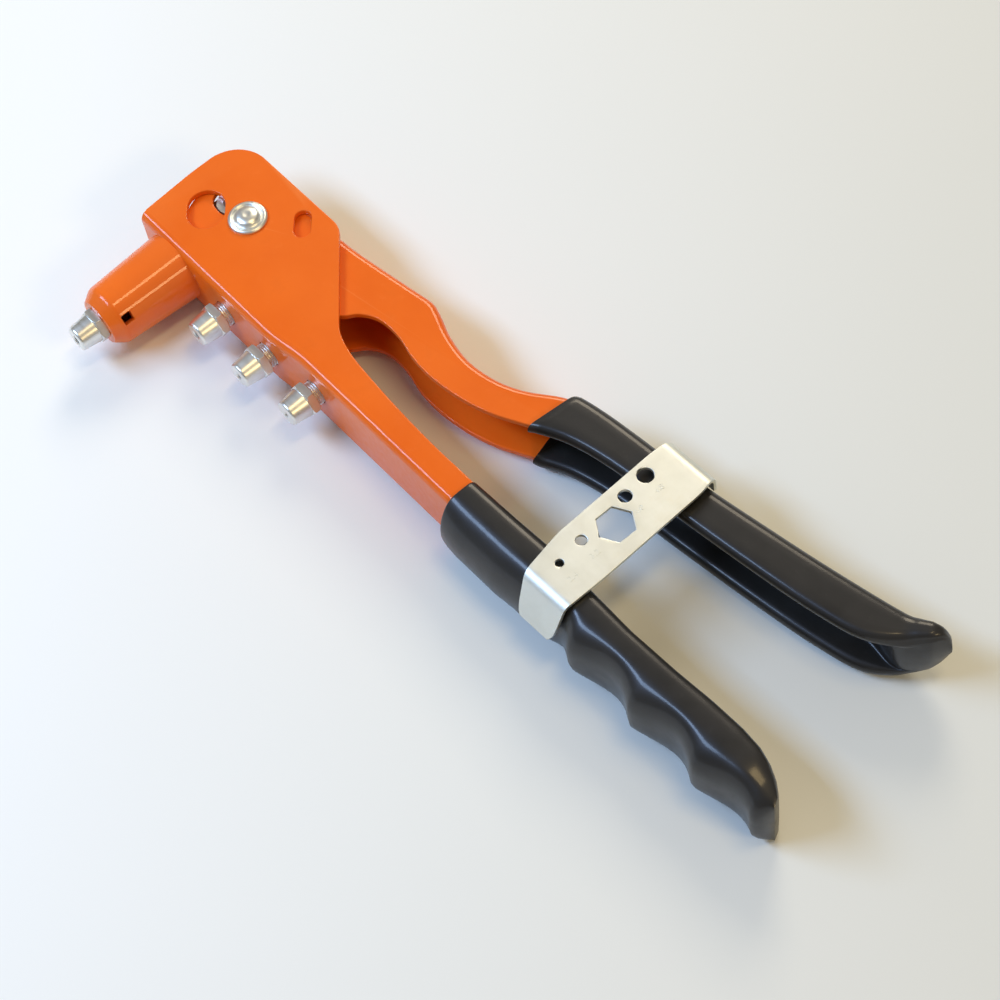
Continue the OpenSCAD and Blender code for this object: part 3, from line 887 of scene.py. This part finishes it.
def clip_key():
    """Latch clip and spanner: a bent strap with gauge holes, a hexagon and stamped gauge sizes."""
    line = strap_line()

    def place(u, v):
        x, z = line[round(u * (len(line) - 1))]
        low, high = between(x, STRAP_LOW), between(x, STRAP_HIGH)
        return x, CLIP_MID.y + low + (high - low) * v, z

    piece = lofted("clip_strap", len(line) - 1, 12, place)
    mesh = edit(piece)
    if sum(face.normal.z for face in mesh.faces) < 0:
        bpy.ops.mesh.select_all(action="SELECT")
        bpy.ops.mesh.flip_normals()
    done(piece)
    applied(piece, "SOLIDIFY", thickness=STRAP_T * MM, offset=-1, use_even_offset=True, use_rim=True)
    for x, y, r, _ in GAUGES:
        cut(piece, rod("cutter", (x, CLIP_MID.y + y, STRAP_TOP), r, 8, sides=48))
    x, y = 29, CLIP_MID.y + 0.1
    hexagon = rod("cutter", (x, y, STRAP_TOP), (HEX_HALF + 0.05) * HEX_CORNER, 8, sides=6)
    cut(piece, turned(hexagon, tool(x, y), 27.4))
    softened(piece, 0.22, 2, 45)
    for x, y, _, size in GAUGES:
        joined(piece, stamped(size, x - 1.9, CLIP_MID.y + y - 6.6))
    turned(piece, tool(*CLIP_MID), CLIP_TILT)
    smooth(piece, 35)
    return finished(piece, "clip", "zinc", CLIP_ZINC, "clip_key")


# ---------------------------------------------------------------- springs and inner steel
def springs():
    """Return spring round the carriage and jaw spring behind the pusher, each coiled between the ends of its
    CAD part.
    """
    x0, x1 = span("return_spring", 0)
    piece = helix("return_coil", x0, x1, 6.55, 0.6, 3)
    finished(piece, None, "dark_steel", SPRING, "return_spring")
    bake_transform(piece)
    x0, x1 = span("jaw_spring", 0)
    piece = helix("jaw_coil", x0, x1, 3.4, 0.4, 6)
    finished(piece, None, "bright_steel", SPRING, "jaw_spring")
    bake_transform(piece)


KEPT_STEEL = {"barrel_nut": BRIGHT, "spring_seat": BRIGHT, "pivot_sleeve": BRIGHT, "case_locknut": BRIGHT,
              "trunnion_bushes": BRIGHT, "trunnion_pins": DARK, "jaw_case": DARK, "jaw_pusher": DARK,
              "jaw_1": DARK, "jaw_2": DARK, "jaw_3": DARK, "pulling_head": DARK}


def kept_nodes():
    """Steel finishes for the pieces whose CAD shape is used as it is."""
    for node, material in KEPT_STEEL.items():
        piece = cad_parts[node]
        piece.data.materials.clear()
        piece.data.materials.append(material)


# ---------------------------------------------------------------- floor, lights and camera
def floor():
    """Pale table top with painted shade: a little darker towards the lower right, standing in for the falloff
    of the lamps.
    """
    alone()
    bpy.ops.mesh.primitive_plane_add(size=6, location=(0, 0, cad_bounds[0][2] - 0.0001))
    sheet = named(bpy.context.object, "table_top")
    f = Finish("pale_table", Roughness=0.75, Specular_IOR_Level=0.2)
    x, y = (f.node("ShaderNodeSeparateXYZ", {}, {"Vector": f.place}, way) for way in ("X", "Y"))
    across = x * 0.75 - y * 0.66 + f.noise(5, 2) * 0.06
    # painted shade: the colour darkens towards the lower right, where the lamps' light falls off
    shade = f.range(across, -0.10, 0.26)
    sheet.data.materials.append(f.connect(Base_Color=f.mix(shade, (0.85, 0.87, 0.87), (0.68, 0.71, 0.70))))


def facing(way, upright):
    """Rotation of a lamp that shines against way, with its own Y axis as near to upright as it can be."""
    side = Vector(upright).cross(way).normalized()
    return Matrix((side, way.cross(side), way)).transposed()


def area_light(name, aim, direction, distance, size, power, colour, long_side=(0, 1, 0)):
    """A soft lamp at a direction and distance from aim, turned to face it. size is width, then length."""
    alone()
    bpy.ops.object.light_add(type="AREA")
    lamp = bpy.context.object
    lamp.name = name
    lamp.data.shape = "RECTANGLE"
    lamp.data.size, lamp.data.size_y = size
    lamp.data.energy = power
    lamp.data.color = colour
    way = Vector(direction).normalized()
    lamp.location = aim + way * distance
    lamp.rotation_euler = facing(way, long_side).to_euler()


def lights():
    """A warm lamp on the lever's side, a cool window on the body's side, and two strips over the barrel."""
    handles = tool(10, -100)
    nose = tool(-12, 0, 10)
    area_light("warm_lamp", handles, (0.68, 0.52, 0.62), 1.3, (0.5, 0.5), 6.8, (1.0, 0.86, 0.64))
    area_light("window", handles, (-0.50, 0.44, 0.75), 0.9, (0.22, 0.60), 6.8, (0.48, 0.68, 1.0))
    for reach, height in ((-0.26, 0.95), (-0.84, 0.56)):
        area_light("strip", nose, (0.16, reach, height), 1.5, (0.20, 0.45), 3.6, (1.0, 0.74, 0.36), X_AXIS)
    world = bpy.data.worlds.new("room")
    bpy.context.scene.world = world
    world.use_nodes = True
    backdrop = world.node_tree.nodes["Background"]
    backdrop.inputs["Color"].default_value = (0.97, 0.92, 0.82, 1)
    backdrop.inputs["Strength"].default_value = 0.28


def camera():
    """The view: over the nose and the rack, with the barrel axis running down to the left."""
    azimuth, elevation, roll = math.radians(-31.91), math.radians(58.93), math.radians(10.76)
    ahead = Vector((-math.sin(azimuth) * math.cos(elevation), math.cos(azimuth) * math.cos(elevation),
                    -math.sin(elevation)))
    aim = tool(16.2, -130.8)
    alone()
    bpy.ops.object.camera_add()
    view = bpy.context.object
    view.name = "main_view"
    view.data.lens = 93.6
    view.data.sensor_width = 36
    view.data.clip_start = 0.01
    view.location = aim - ahead * 0.733
    view.rotation_euler = (facing(-ahead, Z_AXIS) @ Matrix.Rotation(-roll, 3, "Z")).to_euler()
    bpy.context.scene.camera = view


# ---------------------------------------------------------------- the whole tool
body_frame()
lever_frame()
barrel()
nosepiece("fitted_nose", "fitted_nosepiece", NOSE_X, 0.0, FITTED_BORE)
for rack_node, bore in RACK_BORES.items():
    seat = span(rack_node, 0)[0] + CONE_REACH
    name = rack_node.replace("spare_nosepiece", "stored_nose")
    nosepiece(name, rack_node, seat, middle(rack_node, 1), bore)
pivot_rivet()
body_grip()
lever_grip()
clip_key()
springs()
kept_nodes()
floor()
lights()
camera()
bpy.context.scene.view_settings.view_transform = "Standard"
